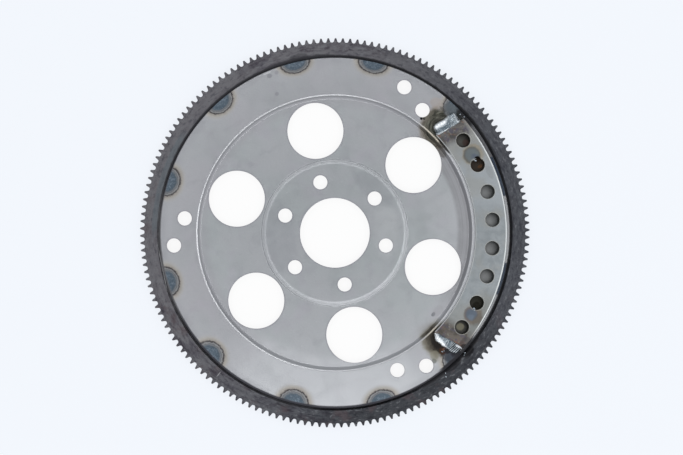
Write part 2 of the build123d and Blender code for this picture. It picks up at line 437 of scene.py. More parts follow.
# The two end beads, in the frame of the plate's end. reach is where a bead starts and stops along
# the end, far and near are its toes off the end, and crown is its height over the plate, in rows of
# (place, value). A dimple is its place, how far off the end it lies, its size and its depth. ripple
# is wave, height and bow; comb is wave, height and start; lean is level, slope and bends.
END_BEADS = {
    "upper": {
        "side": 1,
        "reach": (-13.9, 10.9),
        "far": (
            (-13.9, 4.8), (-12.4, 6.9), (-10, 7.8), (-6, 8.2), (-1.5, 8.1), (1, 8.7), (3.5, 9.7), (6.5, 9.5),
            (9.2, 9.2), (10.9, 7.6),
        ),
        "near": ((-13.9, -2.3), (-11, -2.7), (-6, -2.5), (-1, -1.9), (4, -2.1), (10.9, -1.6)),
        "crown": ((-13.9, 0.8), (-9, 1.2), (-2.5, 0.8), (4.5, 1.4), (10.9, 0.8)),
        "dimples": ((4.6, 2.6, 1.9, 0.75), (-5.5, 1, 3.2, 0.35), (-0.8, 3, 1.3, 0.3), (7.6, 5.6, 1.5, 0.2)),
        "ripple": (2.4, 0.035, 0.5),
        "comb": (1.5, 0.03, 20),
        "lean": (3.8, 0, ((-2, 1),)),
    },
    "lower": {
        "side": -1,
        "reach": (-13.9, 14.2),
        "far": (
            (-13.9, 0.9), (-12.2, 2.4), (-10.6, 4.6), (-9, 5.5), (-5.5, 5.7), (-2, 6.6),
            (0.5, 6.3), (3.5, 6.6), (6, 7.5), (8.5, 7.1), (11, 6.2), (14.2, 4.8),
        ),
        "near": ((-13.9, -1), (-10, -2.2), (-6, -1.9), (0, -2.3), (8, -2.2), (14.2, -1.6)),
        "crown": ((-13.9, 0.6), (-8, 1.2), (0, 1), (8, 1.3), (14.2, 0.7)),
        "dimples": ((6.4, 2.6, 0.9, 0.5), (-0.5, 2, 2.6, 0.25), (3.4, 4.6, 1.2, 0.2)),
        "ripple": (2.1, 0.05, 0.9),
        "comb": (1.8, 0.16, 3),
        "lean": (4.2, 0.3, ((-2.5, 0.3), (-8, -0.35))),
    },
}
BEAD_CAP = 2.4
BEAD_FLATNESS = 18
BEAD_STEEPNESS = 2.2
BEAD_LEAN = 0.3
BEAD_EASE = 2
COMB_LEAN = 0.35


def lean_line(level, slope, bends, at):
    """How far from the plate's end a bead's top begins to lean outwards, at a place along the end.
    Each bend adds a slope of its own, past a place if it is positive and before it if not."""
    line = level + slope * at
    for place, extra in bends:
        line += abs(extra) * (max(at - place, 0) if extra > 0 else min(at - place, 0))
    return line


def along_end(side, at, off, height=0):
    """A point in the frame of an end of the balance plate: along the end, and away from the plate."""
    middle = Vector((end_middle.x, side * end_middle.y, height))
    return middle + polar(1, side * end_angle) * at + polar(1, side * (end_angle + 90)) * off


def end_bead(name, side, reach, far, near, crown, dimples, ripple, comb, lean, stations=200, rows=48):
    """A hand-laid bead over an end of the balance plate. It fills the corner below the end up to the
    plate's top, follows its toes and its crown along the end, and is rippled like a row of crescents."""
    wave, height, bow = ripple
    comb_wave, comb_height, comb_from = comb
    plate_t = weight_top - rim_front
    first, last = reach
    sections = []
    for station in range(stations + 1):
        at = (first + last) / 2 + (last - first) / 2 * sin(pi * (station / stations - 0.5))
        into = min(at - first, last - at, BEAD_CAP)
        swell = sqrt(max(0, 1 - (1 - into / BEAD_CAP) ** 2))
        toe, lap, rise = eased(far, at), eased(near, at), eased(crown, at)
        combed = comb_height * min(1, max(0, (at - comb_from) / 2))
        toe += combed * 2 * sin(2 * pi * (at + COMB_LEAN * toe) / comb_wave)
        middle = (toe + lap) / 2
        section = []
        for row in range(rows + 1):
            across = (row / rows) ** 1.8
            out = toe + (lap - toe) * across
            if out > 0:
                full = (1 - (out / toe) ** BEAD_FLATNESS) ** (1 / BEAD_STEEPNESS)
                leaning = max(0, out - lean_line(*lean, at) + BEAD_EASE)
                leaning -= BEAD_EASE * (1 - exp(-leaning / BEAD_EASE))
                up = (plate_t + rise - BEAD_LEAN * leaning) * full
                rest = 0
            else:
                full = sqrt(max(0, 1 - (out / lap) ** 2))
                up = plate_t + rise * full
                rest = plate_t
            for place, off, size, depth in dimples:
                up -= depth * full * exp(-(hypot(at - place, out - off) / size) ** 2)
            up += height * sin(2 * pi * (at / wave + bow * (2 * across - 1) ** 2)) * full
            up += combed * sin(2 * pi * (at + COMB_LEAN * out) / comb_wave) * full
            up = rest + (up - rest) * swell
            out = middle + (out - middle) * (0.55 + 0.45 * swell)
            section.append(along_end(side, at, out, rim_front + up - 0.06))
        section.append(along_end(side, at, min(lap, -0.3) / 2, weight_top - 0.4))
        section.append(along_end(side, at, -0.3, rim_front - 0.2))
        sections.append(section)
    return finished(lofted(name, sections))


beads = {
    f"weight_end_weld_{which}": end_bead(f"end_bead_{which}", **shape) for which, shape in END_BEADS.items()
}


def ring_bead(name, angle, seed, stations=64, rows=12):
    """One stitch in the corner between the disc's back and the ring's bore."""
    half = RING_WELD_SPAN / 2
    phase = random.Random(seed).random()
    sections = []
    for station in range(stations + 1):
        share = sin(pi * (station / stations - 0.5))
        turn = angle + half * share
        into = (1 - abs(share)) * half * radians(ring_bore_r) / 3
        swell = 0.25 + 0.75 * sqrt(max(0, 1 - (1 - min(into, 1)) ** 2))
        leg = RING_WELD_LEG * swell * (0.93 + 0.05 * sin(9 * share + 6 * phase))
        section = [polar(ring_bore_r + 0.05, turn, rim_back + 0.1)]
        for row in range(rows + 1):
            across = row / rows
            ripple = 0.025 * sin(2 * pi * (share * 6.5 + (2 * across - 1) ** 2))
            bulge = 0.7 * leg * (0.17 * sin(pi * across) + ripple)
            inwards = leg * (1 - across) + bulge
            down = leg * across + bulge
            section.append(polar(ring_bore_r - inwards, turn, rim_back - down + 0.03))
        sections.append(section)
    return finished(lofted(name, sections))


for number, angle in enumerate(RING_WELD_ANGLES, start=1):
    beads[f"ring_weld_{number:02d}"] = ring_bead(f"ring_stitch_{number:02d}", angle, number)


def plug_bead(number, spot, steps=9):
    """A plug that fills the disc's hole behind the plate, domed and rippled at the back."""
    profile = [(PLUG_R, rim_front)]
    for step in range(steps):
        share = step / steps
        dome = 0.95 * sin(pi / 2 * share) ** 0.8 + 0.07 * share * cos(share * 4 * pi)
        profile.append((PLUG_R * (1 - share), rim_back - dome))
    return turned(f"plug_{number}", profile, 48, spot)


plugs = [plug_bead(number, spot) for number, spot in enumerate(plug_spots)]
beads["weight_plug_welds"] = finished(joined("plug_domes", plugs), 50)

# Drops of weld metal. A row is a drop's radius and angle round the axis, its size, and what it is on.
DROPS = (
    (160.2, -42.3, 0.75, ring_front), (161, -43, 0.5, ring_front), (161.8, -51.3, 0.7, ring_front),
    (164.6, -51.9, 0.75, ring_front), (156, 43.8, 0.8, rim_front), (157.2, 42.3, 0.75, rim_front),
    (144.8, -47.5, 0.9, rim_front), (145.6, -46.8, 0.6, rim_front), (142.6, 27.6, 1.1, weight_top),
    (142.9, -28.1, 1.2, weight_top), (143.9, -28.6, 0.7, weight_top),
)
DROP_FLATNESS = 0.6
DROP_SINK = 0.1


def drop(number, radius, angle, size, ground, around=14, levels=6):
    """A drop as a flattened dome."""
    middle = polar(radius, angle, ground - DROP_SINK)
    sections = []
    for level in range(levels):
        lift = radians(90) * level / levels
        section = []
        for step in range(around):
            turn = 2 * pi * step / around
            out = size * cos(lift) * (1 + 0.12 * sin(2 * turn + angle))
            rise = size * DROP_FLATNESS * sin(lift)
            section.append(middle + Vector((out * cos(turn), out * sin(turn), rise)))
        sections.append(section)
    return lofted(f"drop_{number}", sections, tip=middle + Vector((0, 0, size * DROP_FLATNESS)))


spatter = finished(joined("weld_spatter", [drop(number, *row) for number, row in enumerate(DROPS)]))

# How much of its base colour a flat of the disc or the ring shows in this light
FLAT_GAIN = 0.845
RING_GAIN = 1.08


def tone(*levels):
    """The linear colour of sRGB levels from 0 to 255."""
    shares = [level / 255 for level in levels]
    return tuple(c / 12.92 if c <= 0.04045 else ((c + 0.055) / 1.055) ** 2.4 for c in shares) + (1,)


# Materials
def reckoned(operation, swapped=False):
    """A method of a shader value that reckons it with another value or a number."""
    def reckon(value, other):
        return value.shader.math(operation, *((other, value) if swapped else (value, other)))
    return reckon


class Value:
    """A shader socket that is reckoned with like a number."""

    __add__, __sub__, __mul__, __truediv__ = map(reckoned, ("ADD", "SUBTRACT", "MULTIPLY", "DIVIDE"))
    __rsub__ = reckoned("SUBTRACT", swapped=True)

    def __init__(self, shader, socket):
        self.shader, self.socket = shader, socket

    def ramp(self, low, high, stop=1, start=0):
        """Eases from start to stop as the value goes from low to high."""
        made = self.shader.node("ShaderNodeMapRange", Value=self)
        made.interpolation_type = "SMOOTHSTEP"
        for key, value in zip(("From Min", "From Max", "To Min", "To Max"), (low, high, start, stop)):
            self.shader.feed(made.inputs[key], value)
        return Value(self.shader, made.outputs["Result"])

    def fade(self, low, high, full=1):
        """Full below low, and eased to 0 at high."""
        return self.ramp(low, high, 0, full)


class Shader:
    """A node material built from a few short calls, which mix numbers and sockets freely. A colour of
    three sRGB levels stands for the base colour that shows as them on a flat."""

    def __init__(self, name, gain=FLAT_GAIN):
        self.material = bpy.data.materials.new(name)
        self.material.use_nodes = True
        self.tree = self.material.node_tree
        self.tree.nodes.clear()
        self.gain = gain
        self.colour = None
        self.place = self.vector("SCALE", self.node("ShaderNodeTexCoord").outputs["Object"], scale=1 / MM)
        apart = self.node("ShaderNodeSeparateXYZ", Vector=self.place).outputs
        self.north, self.height = Value(self, apart["Y"]), Value(self, apart["Z"])
        self.flat = self.node("ShaderNodeCombineXYZ", X=apart["X"], Y=apart["Y"]).outputs["Vector"]
        self.radius = self.vector("LENGTH", self.flat)

    def node(self, kind, **inputs):
        made = self.tree.nodes.new(kind)
        for key, value in inputs.items():
            self.feed(made.inputs[key], value)
        return made

    def feed(self, socket, value):
        value = getattr(value, "socket", value)
        if isinstance(value, bpy.types.NodeSocket):
            self.tree.links.new(value, socket)
        else:
            socket.default_value = value

    def math(self, operation, *values):
        made = self.tree.nodes.new("ShaderNodeMath")
        made.operation = operation
        for socket, value in zip(made.inputs, values):
            self.feed(socket, value)
        return Value(self, made.outputs[0])

    def least(self, *values):
        return reduce(partial(self.math, "MINIMUM"), values)

    def most(self, *values):
        return reduce(partial(self.math, "MAXIMUM"), values)

    def vector(self, operation, a, b=(0, 0, 0), scale=1):
        made = self.tree.nodes.new("ShaderNodeVectorMath")
        made.operation = operation
        for socket, value in zip(made.inputs, (a, b, (0, 0, 0), scale)):
            self.feed(socket, value)
        is_number = operation in ("LENGTH", "DISTANCE", "DOT_PRODUCT")
        return Value(self, made.outputs["Value" if is_number else "Vector"])

    def noise(self, size, seed=0, detail=3, roughness=0.6, distortion=0, place=None):
        """Noise from 0 to 1 whose blobs are about so many millimetres."""
        at = self.vector("ADD", place or self.place, (seed * 37.1, seed * 11.7, seed * 23.3))
        settings = {"Scale": 1 / size, "Detail": detail, "Roughness": roughness, "Distortion": distortion}
        return Value(self, self.node("ShaderNodeTexNoise", Vector=at, **settings).outputs["Fac"])

    def streaks(self, along, across, seed):
        """Noise from 0 to 1 drawn out along circles round the axis, with blobs of about these lengths."""
        turning = self.vector("SCALE", self.vector("NORMALIZE", self.flat), scale=disc_r / along)
        out = self.node("ShaderNodeCombineXYZ", Z=self.radius / across).outputs["Vector"]
        return self.noise(1, seed, 4, 0.65, 0.3, self.vector("ADD", turning, out))

    def arcs(self, distance, along, fineness, seed):
        """Streaks from 0 to 1 that run round a spot, from the distance from it and a place along it."""
        place = self.node("ShaderNodeCombineXYZ", X=distance * fineness, Y=along * 0.14)
        return self.noise(1, seed, 3, 0.6, 0.3, place.outputs["Vector"])

    def centred(self, noise, amount):
        """Noise from 0 to 1 turned into a change of at most this amount either way."""
        return (noise - 0.5) * (2 * amount)

    def shade(self, colour, gain):
        """Three sRGB levels as a base colour. Any other colour stays as it is."""
        if isinstance(colour, tuple) and len(colour) == 3:
            return tuple(min(1, level / gain) for level in tone(*colour)[:3]) + (1,)
        return colour

    def colours(self, at, reach, stops):
        """A colour ramp over rows of (place, sRGB levels), from 0 to its reach."""
        made = self.node("ShaderNodeValToRGB", Fac=at / reach)
        elements = made.color_ramp.elements
        while len(elements) < len(stops):
            elements.new(0.5)
        for element, (place, *levels) in zip(elements, stops):
            element.position = place / reach
            element.color = self.shade(tuple(levels), self.gain)
        return made.outputs["Color"]

    def mix(self, share, a, b, blend="MIX", gain=None):
        made = self.tree.nodes.new("ShaderNodeMix")
        made.data_type = "RGBA"
        made.blend_type = blend
        made.clamp_factor = True
        self.feed(made.inputs["Factor"], share)
        self.feed(made.inputs[6], self.shade(a, gain or self.gain))
        self.feed(made.inputs[7], self.shade(b, gain or self.gain))
        return made.outputs[2]

    def lay(self, mask, colour, strength=1, gain=None):
        """Lays a colour over the surface by a mask."""
        mask = mask if strength == 1 else mask * strength
        self.colour = self.mix(mask, self.colour, colour, gain=gain)

    def dim(self, mask, *levels):
        """Darkens the surface by a mask, as if a pane of this colour lay on it."""
        self.lay(mask, self.mix(1, self.colour, tone(*levels), "MULTIPLY"))

    def clouds(self, rows):
        """Lays soft blobs over the surface. A row is a noise's size, seed, detail, roughness and
        distortion, the levels at which the blobs start and are full, their strength, and their colour."""
        for *settings, start, full, strength, colour in rows:
            self.lay(self.noise(*settings).ramp(start, full, strength), colour)

    def spot(self, at, angle=0, length=1, width=1):
        """Distance from a spot, 1 on an ellipse of these half sizes, the first one along the angle."""
        at = (at[0], at[1], 0)
        if length == width:
            return self.vector("DISTANCE", self.flat, at) / length
        away = self.vector("SUBTRACT", self.flat, at)
        along = self.vector("DOT_PRODUCT", away, polar(1 / length, angle))
        across = self.vector("DOT_PRODUCT", away, polar(1 / width, angle + 90))
        return self.math("SQRT", across * across + along * along)

    def in_end(self, side):
        """Place in the frame of an end of the balance plate: along the end, and away from the plate."""
        away = self.vector("SUBTRACT", self.flat, (end_middle.x, side * end_middle.y, 0))
        at = self.vector("DOT_PRODUCT", away, polar(1, side * end_angle))
        return at, self.vector("DOT_PRODUCT", away, polar(1, side * (end_angle + 90)))

    def towards(self, angle, length=1):
        """How far a direction from the axis goes towards an angle, from minus to plus a length."""
        return self.vector("DOT_PRODUCT", self.vector("NORMALIZE", self.flat), polar(length, angle))

    def sector(self, middle, half, soft=1):
        """1 within half an angle of a direction, 0 outside, with a soft limit."""
        return self.towards(middle).ramp(cos(radians(half + soft)), cos(radians(half)))

    def band(self, at, low, high, soft):
        """1 between two limits, 0 outside, eased over a soft width outside each."""
        return at.ramp(low - soft, low) * at.fade(high, high + soft)

    def arc(self, low, high, soft, *sector):
        """1 between two radii, and in a sector if one is given."""
        between = self.band(self.radius, low, high, soft)
        return between * self.sector(*sector) if sector else between

    def stained(self, rows, wobble):
        """Lays soft-edged marks over the surface. A row is a mark's radius and angle round the axis, its
        half sizes across and along the rim, how strong it is, and its colour."""
        for radius, angle, across, along, strength, colour in rows:
            away = self.spot(polar(radius, angle), angle, across, along) + wobble
            self.lay(away.fade(0.75, 1.15), colour, strength, FLAT_GAIN)

    def lay_soot_and_shade(self, soot_and_shade, east, dark, light, pale):
        """Lays sooty black and painted shade, dark up to a level east, lighter past it, and pale at its west
        end.
        """
        to_west = self.towards(188)
        colour = self.mix(to_west.ramp(east, 0.2), tone(*dark), tone(*light))
        self.lay(soot_and_shade, self.mix(to_west.ramp(0.9, 0.985), colour, tone(*pale)))

    def finish(self, roughness, relief, height, soot_and_shade=None):
        """The surface, with a relief of so many millimetres. Soot and painted shade take its shine away."""
        surface = self.node("ShaderNodeBsdfPrincipled", Roughness=roughness, Metallic=1)
        self.feed(surface.inputs["Base Color"], self.colour)
        if soot_and_shade:
            bare = 1 - soot_and_shade
            self.feed(surface.inputs["Metallic"], bare)
            self.feed(surface.inputs["Specular IOR Level"], bare * 0.5)
        bump = self.node("ShaderNodeBump", Height=relief, Strength=1, Distance=height * MM)
        self.feed(surface.inputs["Normal"], bump.outputs["Normal"])
        self.node("ShaderNodeOutputMaterial", Surface=surface.outputs["BSDF"])
        return self.material


# Bare sheet: neutral grey that leans to lavender here and to green there, with clouds and smudges
steel = Shader("disc_steel")
mottle = steel.noise(11, 1, 5, 0.62, 0.4)
grain = steel.noise(1.3, 3)
fine_wobble = steel.centred(steel.noise(5, 4, 2, 0.5), 0.016)
coarse_wobble = steel.centred(steel.noise(6, 5), 0.28)
steel.colour = steel.mix(mottle.ramp(0.3, 0.7), (161, 163, 166), (171, 173, 176))
steel.clouds((
    (48, 0, 3, 0.5, 0, 0.35, 0.65, 0.6, (158, 164, 165)),
    (17, 13, 4, 0.6, 0.6, 0.54, 0.7, 0.4, (150, 152, 156)),
    (26, 2, 3, 0.55, 0, 0.5, 0.72, 0.4, (166, 163, 171)),
    (7, 6, 4, 0.7, 1, 0.62, 0.78, 0.35, (146, 149, 152)),
    (1.3, 3, 3, 0.6, 0, 0.55, 0.8, 0.25, (140, 142, 146)),
    (2.2, 7, 2, 0.5, 0, 0.66, 0.8, 0.4, (186, 188, 191)),
))

# Lavender lines round the holes, and painted shade darkening the web towards the rim's step
hole_gaps = [steel.spot(at) - radius for _, at, radius, *_ in holes]
hole_gap = steel.least(steel.radius - BORE_R, *hole_gaps)
steel.lay(hole_gap.fade(0.3, 1.6, 0.5), (136, 134, 144))
steel.lay(steel.radius.ramp(110, 121, 0.3), (150, 146, 152))

# Painted light and shade on the steps: the rim step's and the hub step's slopes painted lighter, the hub
# step's crest painted darker, and a painted highlight inside the balance plate. A row is the inner and outer
# radius and the softness, a sector if it has one, the strength and the colour.
HUB_CREST = (63.6, 65, 0.8)
for limits, strength, shade in (
    ((121.8, 122.6, 0.6), 0.8, (186, 186, 190)), (HUB_CREST, 0.6, (142, 144, 147)),
    ((65.5, 66.4, 0.4), 0.9, (188, 190, 193)), ((125.4, 127.4, 0.5, -2, 40, 3), 0.9, (205, 206, 209)),
):
    steel.lay(steel.arc(*limits), shade, strength)
# Streaked painted shade on the web by the rim step, to the east where the balance plate stands
east_shade_streak = steel.arcs(steel.radius, steel.height, 0.45, 12).ramp(0.3, 0.6, 0.85, 0.35)
steel.lay(steel.arc(114, 121.5, 5, 10, 26, 20) * east_shade_streak, (136, 136, 139))
steel.lay(steel.radius.ramp(108, 118) * steel.sector(268, 20, 25), (182, 184, 187), 0.7)
not_south = 1 - steel.sector(270, 14, 14)
steel.lay(steel.radius.ramp(150, 156) * not_south, (146, 147, 151), 0.45)

# Scorched steel round the balance plate's two end beads. A row is a place in an ellipse round the
# bead, from its middle to a little past its outline, and the colour there.
UPPER_SCORCH = (
    (0, 58, 57, 55), (0.45, 62, 62, 58), (0.63, 82, 81, 74), (0.84, 90, 88, 80), (0.96, 98, 94, 86),
    (1.065, 122, 117, 110), (1.185, 145, 141, 137), (1.305, 154, 152, 152),
)
LOWER_SCORCH = (
    (0, 40, 36, 34), (0.792, 42, 39, 36), (0.936, 58, 54, 49), (1.08, 78, 74, 67), (1.26, 104, 100, 91),
    (1.476, 130, 128, 119), (1.692, 152, 153, 148),
)


def scorch(side, at, off, length, width, waver, reach, stops, fineness, seed):
    """Distance from the middle of an end's scorch, its colour there, and streaks that run round it."""
    plain = steel.spot(along_end(side, at, off), side * end_angle, length, width)
    away = plain + coarse_wobble * waver
    return away, steel.colours(away, reach, stops), steel.arcs(plain, steel.in_end(side)[0], fineness, seed)


upper_away, burnt, streak = scorch(1, -4, 2, 20, 17, 0.7, 1.5, UPPER_SCORCH, 9, 9)
upper_dark = upper_away.fade(0.8, 1.15)
burnt = steel.mix(streak.ramp(0.5, 0.6) * upper_dark * 0.8, burnt, (46, 48, 43))
burnt = steel.mix(streak.ramp(0.45, 0.36) * upper_dark * 0.75, burnt, (116, 117, 107))
steel.lay(upper_away.fade(1.05, 1.35), burnt)
lower_away, burnt, streak = scorch(-1, 2, 2, 18.5, 12, 0.8, 1.8, LOWER_SCORCH, 11, 10)
dark_streak = streak.ramp(0.48, 0.6) * lower_away.fade(0.9, 1.3) * 0.5
burnt = steel.mix(dark_streak, burnt, (30, 28, 30))
outside_web = steel.radius.ramp(118, 122.5, 1, 0.3)
steel.lay(lower_away.fade(1.3, 1.75) * outside_web, burnt)
scorched = steel.most(upper_dark, lower_away.fade(0.95, 1.3))

# A painted highlight along the rim step's crest, brighter to the south-west and cream through the scorch
crest_highlight = steel.mix(steel.sector(215, 32, 30), (164, 165, 168), (196, 197, 200))
crest_highlight = steel.mix(scorched, crest_highlight, (190, 183, 170))
steel.lay(steel.arc(124.3, 125.4, 0.5), crest_highlight, 0.65)

# The heat tints over the ring's stitch welds: half ellipses that stand on the groove. A row is the
# weld's angle, how deep the tint reaches into the disc, and its half length along the rim.
TINT_R = 158.5
TINTS = (
    (17.9, 10.5, 13.5), (46.3, 12.5, 12), (77.7, 10.2, 13.8), (103.6, 9.8, 13.6), (131.6, 10.6, 13.2),
    (163.3, 11.6, 13.4), (196.6, 11.5, 13.6), (224.8, 12.5, 13.4), (256.7, 12.4, 13.6), (286, 10.5, 13.4),
    (314, 11.5, 12), (345.5, 10.5, 13.5),
)
# The tint's colours, from its middle out, with a dark outline at 1
TINT_STOPS = (
    (0, 98, 109, 119), (0.35, 91, 102, 112), (0.58, 79, 90, 100), (0.68, 82, 90, 97), (0.75, 114, 117, 121),
    (0.81, 98, 99, 102), (0.87, 132, 133, 134), (0.92, 118, 118, 118), (0.95, 76, 74, 76),
    (0.98, 62, 59, 60), (1.01, 88, 85, 84), (1.05, 136, 132, 128), (1.12, 153, 149, 143),
    (1.3, 161, 159, 157), (1.6, 164, 165, 168),
)
TINT_REACH = 1.7
tint_at = steel.least(*(steel.spot(polar(TINT_R, angle), angle, depth, half) for angle, depth, half in TINTS))
tint_at = tint_at + fine_wobble
streak = steel.noise(2, 8, 4, 0.7, 0.6).ramp(0.35, 0.7)
tint = steel.colours(tint_at + steel.centred(streak, 0.04), TINT_REACH, TINT_STOPS)
tint = steel.mix(streak * tint_at.fade(0.3, 0.85, 0.6), tint, (64, 76, 86))
pale_tint = streak.ramp(0.35, 0) * tint_at.fade(0.5, 0.85, 0.5)
tint = steel.mix(pale_tint, tint, (118, 129, 140))
# A tint keeps to its outline where it stands in scorched steel
wide_tint = tint_at.fade(1.15, 1.6) * (1 - scorched)
close_tint = tint_at.fade(0.98, 1.06, 0.9) * scorched
steel.lay((wide_tint + close_tint) * steel.radius.ramp(140, 143), tint)

# Painted shade on the steel that the balance plate covers and its holes show: darker to the right in each
# hole
HOLE_FLOOR_SHADE = (
    (0, 116, 117, 117), (0.4, 106, 107, 107), (0.8, 88, 89, 89), (1.152, 62, 63, 63), (1.52, 42, 42, 42),
)
light_from = Vector((2.6, 1.2, 0))
in_hole = steel.least(*(
    steel.spot(middle - light_from, 0, WEIGHT_HOLE_R, WEIGHT_HOLE_R) for middle in hole_middles
))
hole_floor_shade = steel.colours(in_hole + coarse_wobble * 0.8, 1.6, HOLE_FLOOR_SHADE)
end_holes = steel.math("ABSOLUTE", steel.north).ramp(50, 56)
hole_floor_shade = steel.mix(end_holes, hole_floor_shade, steel.mix(0.75, hole_floor_shade, (104, 98, 84), "MULTIPLY"))
by_plate = steel.spot((weight_mid_r * 0.93, 0), 0, 40, 108).fade(0.98, 1)
steel.lay(steel.arc(134, 151, 1) * by_plate, hole_floor_shade)

# Soft clouds, soot, burns, stains and specks on the sheet
steel.stained((
    (50, 186, 16, 34, 0.35, (146, 148, 153)), (54, 48, 10, 24, 0.4, (144, 147, 151)),
    (46, 2, 12, 26, 0.3, (180, 183, 184)), (98, 12, 18, 30, 0.2, (172, 175, 177)),
    (121, 39.5, 4.2, 11, 0.6, (76, 70, 63)), (126.3, 38.8, 1.9, 9.5, 0.85, (34, 31, 29)),
    (129, 42.5, 2, 5, 0.7, (36, 34, 32)), (149, 52.5, 5, 6, 0.5, (160, 150, 143)),
    (151.5, -45.5, 8, 9, 0.85, (58, 60, 66)), (153.5, -43.6, 5, 7, 0.7, (36, 35, 38)),
    (152.8, 46.9, 6.2, 8, 0.75, (90, 95, 98)), (156.4, 43.2, 4.2, 6.5, 0.92, (34, 36, 34)),
    (148.5, 49.3, 1.4, 4, 0.5, (70, 68, 66)),
    (144.8, -47.3, 3.4, 3.2, 0.8, (62, 44, 34)), (144.4, -46.6, 1.3, 1.6, 0.5, (110, 84, 70)),
    (147.6, -45.6, 3.2, 4, 0.85, (38, 38, 41)), (142.8, -50.5, 4.2, 4.6, 0.6, (124, 121, 108)),
    (129.6, 53.3, 1.3, 1.2, 1, (30, 30, 30)), (131.3, 52.4, 1.2, 1.2, 1, (34, 34, 32)),
    (133.2, 52.2, 2.2, 4.2, 0.45, (110, 108, 98)), (146.5, -51.8, 2.4, 2, 0.65, (92, 94, 86)),
    (153.7, 113, 2, 2.4, 0.7, (126, 127, 132)), (154.4, 110.4, 1.8, 2, 0.6, (130, 130, 136)),
    (136.2, 113, 1.7, 1.9, 0.6, (132, 132, 138)), (115.8, -39.2, 1.5, 2.2, 0.9, (112, 114, 118)),
    (117, -36.5, 4, 6, 0.3, (140, 138, 142)), (144.7, 27.7, 3.2, 3.2, 1, (22, 20, 20)),
    (143.8, -26.6, 3.2, 3.4, 1, (20, 19, 20)), (142.7, -25.8, 7.5, 7.5, 0.75, (34, 33, 28)),
    (142.7, 25.8, 7.5, 7.5, 0.75, (42, 34, 28)), (144.5, 25, 2.4, 1.5, 0.45, (88, 60, 38)),
    (157.4, -48.6, 2, 8, 0.85, (38, 39, 43)), (143.8, 35, 3, 3, 0.5, (60, 42, 38)),
    (141.5, -36.4, 3.4, 3.4, 0.5, (122, 118, 100)),
), coarse_wobble)

# The strip outside the balance plate with painted shade from the plate, darker still to the north, its two
# blued blocks, and a bright nick
STRIP = (155.4, 158, 0.5)
strip_shade = steel.mix(steel.north.ramp(40, 72), (142, 143, 145), (76, 76, 78))
for limits, strength, shade in (
    ((*STRIP, 0, 42.5, 0.8), 0.85, strip_shade),
    ((*STRIP, 19.5, 6.5, 0.6), 0.9, (44, 54, 68)),
    ((*STRIP, -15, 5.1, 0.6), 0.9, (44, 54, 68)),
    ((156.4, 157.4, 0.4, 113.4, 0.9, 0.6), 0.5, (190, 191, 194)),
):
    steel.lay(steel.arc(*limits), shade, strength)

# Soot and painted shade over the rim's edge, which lies a little off the axis, and soot wider by the plate's
# ends
SOOT_AND_SHADE_OFF = (80, 0.95)
edge_at = steel.radius + steel.centred(mottle, 0.4) - steel.towards(*SOOT_AND_SHADE_OFF)
by_ends = steel.most(steel.sector(-44.5, 6.5, 2.5), steel.sector(42, 2.5, 2))
wide_soot = (steel.radius + coarse_wobble).ramp(155, 156.6, 0.9)
soot_and_shade = steel.most(edge_at.ramp(disc_r - 1.8, disc_r - 0.5, 0.97), by_ends * wide_soot)
steel.lay_soot_and_shade(soot_and_shade, -0.9, (46, 46, 49), (68, 68, 74), (104, 104, 107))
roughness = steel.arc(*HUB_CREST) * 0.1 + mottle.ramp(0.3, 0.7, 0.31, 0.36)
disc_material = steel.finish(roughness, grain, 0.012, soot_and_shade)

# Dark ring: lighter to the upper left, streaked and blotchy, with brown below and specks by the teeth
gear = Shader("ring_steel", RING_GAIN)
patch = gear.streaks(15, 4.5, 1)
fine = gear.noise(1.1, 2, 3, 0.65)
gear.colour = gear.mix(gear.towards(148).ramp(-0.6, 0.7), (82, 84, 89), (110, 109, 113))
gear.lay(gear.towards(-62).ramp(0.72, 0.98), (66, 68, 72))
blotchy = gear.most(gear.sector(98, 10, 22), gear.sector(240, 25, 20))
blotchy = blotchy * 0.65 + 0.3
gear.dim(patch.ramp(0.46, 0.66, 0.9) * blotchy, 204, 196, 203)
gear.dim(gear.streaks(26, 8, 9).ramp(0.5, 0.62) * blotchy, 214, 212, 218)
scaly = gear.streaks(5, 2.2, 7)
gear.dim(scaly.ramp(0.52, 0.64, 0.7), 190, 191, 198)
gear.lay(scaly.ramp(0.45, 0.34, 0.6), (116, 118, 122))
brown = gear.noise(14, 3).ramp(0.52, 0.66, 0.5)
gear.lay(brown * gear.towards(245).ramp(-0.5, 0.7), (88, 77, 80))
gear.lay(gear.arc(161.5, 165, 1.5, 164, 14, 5), (96, 106, 112), 0.5)
near_teeth = gear.radius.ramp(root_r - 5, root_r + 1)
gear.lay(fine.ramp(0.5, 0.72) * (near_teeth + 0.25), (48, 47, 49), 0.6)
gear.clouds(((1, 5, 2, 0.5, 0, 0.68, 0.8, 0.5, (140, 140, 141)),))

# Soot and painted shade in the groove, off the axis too, and wider in four places: middle, half angle and how
# much
RING_SOOT_AND_SHADE_OFF = (108, 1.1)
groove_at = gear.radius + gear.centred(gear.noise(4.5, 8), 1.3)
groove_at = groove_at - gear.towards(*RING_SOOT_AND_SHADE_OFF)
for middle, half, wider in ((36, 6, 1.6), (-48, 10, 3), (103, 6, 1.2), (-105, 5, 1.7)):
    groove_at -= gear.sector(middle, half, 6) * wider
soot_and_shade = groove_at.fade(ring_bore_r + 0.2, ring_bore_r + 2.3, 0.97)
gear.lay_soot_and_shade(soot_and_shade, -0.85, (44, 44, 46), (66, 66, 70), (106, 106, 109))
